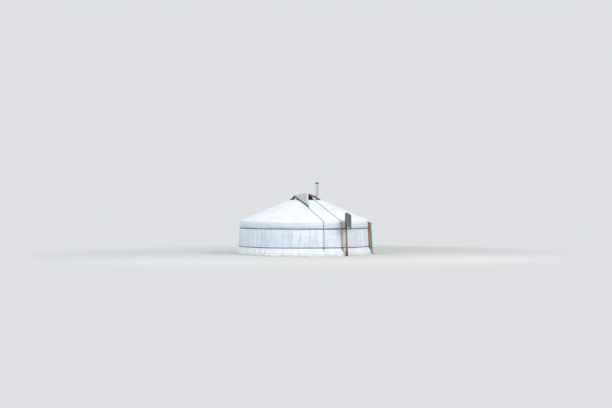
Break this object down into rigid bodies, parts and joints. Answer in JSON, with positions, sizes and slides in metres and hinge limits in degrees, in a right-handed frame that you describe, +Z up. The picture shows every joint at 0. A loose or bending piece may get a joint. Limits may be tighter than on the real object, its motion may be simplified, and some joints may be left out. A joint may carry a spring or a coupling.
{
  "type": "yurt",
  "caption": "Round felt-and-canvas tent on a folding lattice wall, with roof poles, crown, stovepipe and a wooden door that opens.",
  "frame": {"origin": "on the ground at the middle of the round floor", "axes": "+Z up, the door faces -Y, +X to the right of someone who looks at the door from outside"},
  "size_m": [6.33, 6.2922, 3.23],
  "materials": {
    "painted_wood": "orange-red paint on wood",
    "door_frame_paint": "orange-red gloss paint",
    "door_leaf_paint": "turquoise gloss paint",
    "hinge_steel": "plain steel",
    "felt": "pressed wool felt",
    "cover_canvas": "white cotton canvas",
    "skirt_canvas": "white canvas, soiled",
    "flap_canvas": "grey-green canvas",
    "belt_webbing": "woven horsehair belt",
    "rope": "twisted hair rope",
    "pipe_steel": "galvanised sheet",
    "cap_steel": "sooty sheet",
    "mast_wood": "bare weathered pole",
    "bracket_steel": "grey paint",
    "panel_face": "dark solar cells under glass"
  },
  "bodies": {
    "root": {"lattice_1_left": "painted_wood", "lattice_1_right": "painted_wood", "lattice_2_left": "painted_wood", "lattice_2_right": "painted_wood", "lattice_3_left": "painted_wood", "lattice_3_right": "painted_wood", "lattice_4_left": "painted_wood", "lattice_4_right": "painted_wood", "lattice_5_left": "painted_wood", "lattice_5_right": "painted_wood", "roof_poles_1": "painted_wood", "roof_poles_2": "painted_wood", "roof_poles_door": "painted_wood", "post_left": "painted_wood", "post_right": "painted_wood", "crown_ring": "painted_wood", "crown_arches": "painted_wood", "door_jamb_left": "door_frame_paint", "door_jamb_right": "door_frame_paint", "door_sill": "door_frame_paint", "door_head": "door_frame_paint", "hinges_frame_side": "hinge_steel", "wall_felt_1": "felt", "wall_felt_2": "felt", "wall_felt_3": "felt", "wall_felt_4": "felt", "roof_felt_right": "felt", "roof_felt_left": "felt", "wall_canvas": "cover_canvas", "roof_canvas": "cover_canvas", "door_hood": "cover_canvas", "skirt_1": "skirt_canvas", "skirt_2": "skirt_canvas", "skirt_3": "skirt_canvas", "skirt_4": "skirt_canvas", "crown_flap": "flap_canvas", "upper_belt": "belt_webbing", "lower_belt": "belt_webbing", "flap_ropes": "rope", "side_ropes": "rope", "mast_lashing": "rope", "stovepipe": "pipe_steel", "pipe_plate": "pipe_steel", "pipe_cap": "cap_steel", "panel_mast": "mast_wood", "panel_bracket": "bracket_steel", "solar_panel": "panel_face"},
    "door": {"door_leaf": "door_leaf_paint", "hinges_leaf_side": "hinge_steel", "door_handle": "hinge_steel"}
  },
  "joints": [
    {"name": "door_swing", "type": "hinge", "parent": "root", "child": "door", "pos_m": [0.367, -2.90798, 0.72959], "axis": [0, 0.0523, 0.9986], "range_deg": [0, 110]}
  ]
}
